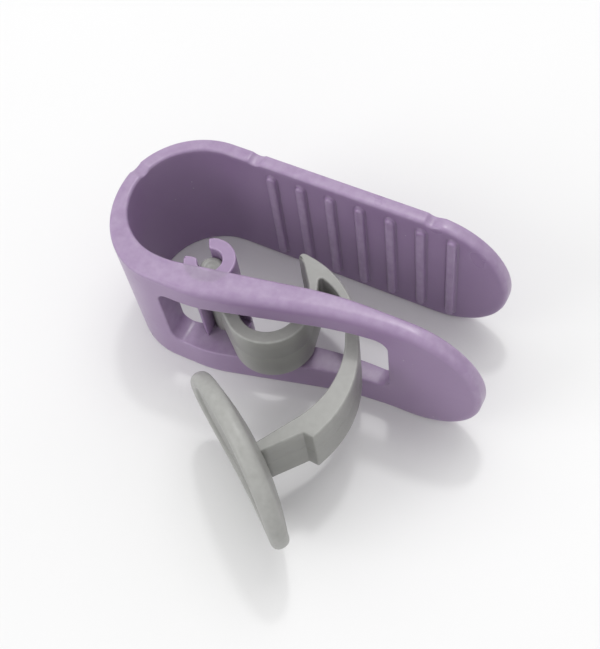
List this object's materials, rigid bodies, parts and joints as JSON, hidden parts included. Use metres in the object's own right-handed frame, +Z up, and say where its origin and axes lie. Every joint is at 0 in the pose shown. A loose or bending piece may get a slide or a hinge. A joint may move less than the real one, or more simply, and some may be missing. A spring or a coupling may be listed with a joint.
{
  "type": "spring clip with latching lever",
  "caption": "U-shaped plastic spring clip with a ribbed inner face, a windowed front arm and a swinging pinch lever with an oval thumb pad.",
  "frame": {"origin": "middle of the rear arm's wall on the surface the clip stands on, where the straight arm meets the round bow", "axes": "+X along the rear arm to its tip, +Z up the clip's height, front arm and lever on the -Y side"},
  "size_m": [0.066, 0.0544, 0.025],
  "materials": {
    "clip_plastic": "satin lilac polypropylene",
    "lever_plastic": "satin warm grey"
  },
  "bodies": {
    "clip": {"front_arm": "clip_plastic", "spring_bow": "clip_plastic"},
    "rear": {"rear_arm": "clip_plastic"},
    "lever": {"swing_lever": "lever_plastic", "thumb_pad": "lever_plastic"}
  },
  "joints": [
    {"name": "arm_spread", "type": "hinge", "parent": "clip", "child": "rear", "pos_m": [0, -0.0119, 0.0125], "axis": [0, 0, 1], "range_deg": [0, 8], "stiffness_Nm_per_rad": 0.8, "deforming": ["spring_bow"]},
    {"name": "lever_swing", "type": "hinge", "parent": "clip", "child": "lever", "pos_m": [0.0076, -0.02023, 0.0127], "axis": [0, 0, 1], "range_deg": [-45, 40]}
  ]
}
